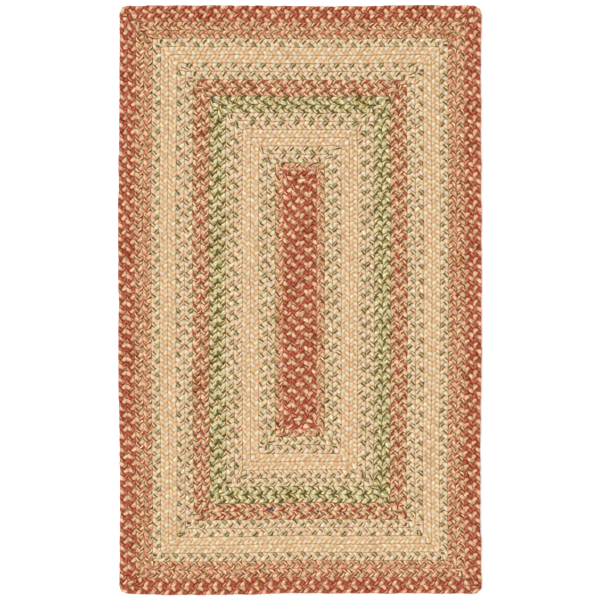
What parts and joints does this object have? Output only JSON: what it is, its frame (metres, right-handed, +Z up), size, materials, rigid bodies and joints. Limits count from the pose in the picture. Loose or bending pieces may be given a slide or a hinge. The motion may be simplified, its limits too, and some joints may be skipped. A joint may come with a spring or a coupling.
{
  "type": "braided rug",
  "caption": "Flat rectangular rug of closed rounds of three-strand braid, laced edge to edge around a doubled core, in rust, cream, green and mixed bands.",
  "frame": {"origin": "on the floor under the middle of the rug", "axes": "+Z up out of the face, +Y along the rug's length, +X across its width"},
  "size_m": [0.9264, 1.5021, 0.011],
  "materials": {
    "rust_braid": "matt plaited synthetic yarn, brick red and tan",
    "mixed_braid": "matt plaited synthetic yarn, tan, rust and olive",
    "flecked_braid": "matt plaited synthetic yarn, cream and tan with dark olive flecks",
    "cream_braid": "matt plaited synthetic yarn, cream and peach",
    "green_braid": "matt plaited synthetic yarn, olive green and cream",
    "red_braid": "matt plaited synthetic yarn, peach, brick red and olive"
  },
  "bodies": {
    "root": {"round_01": "rust_braid", "round_02": "rust_braid", "round_03": "mixed_braid", "round_04": "flecked_braid", "round_05": "flecked_braid", "round_06": "cream_braid", "round_07": "cream_braid", "round_08": "flecked_braid", "round_09": "flecked_braid", "round_10": "green_braid", "round_11": "green_braid", "round_12": "red_braid", "round_13": "red_braid", "round_14": "flecked_braid", "round_15": "flecked_braid", "round_16": "cream_braid", "round_17": "cream_braid", "round_18": "flecked_braid", "round_19": "mixed_braid", "round_20": "mixed_braid", "round_21": "rust_braid", "round_22": "rust_braid"}
  },
  "joints": []
}
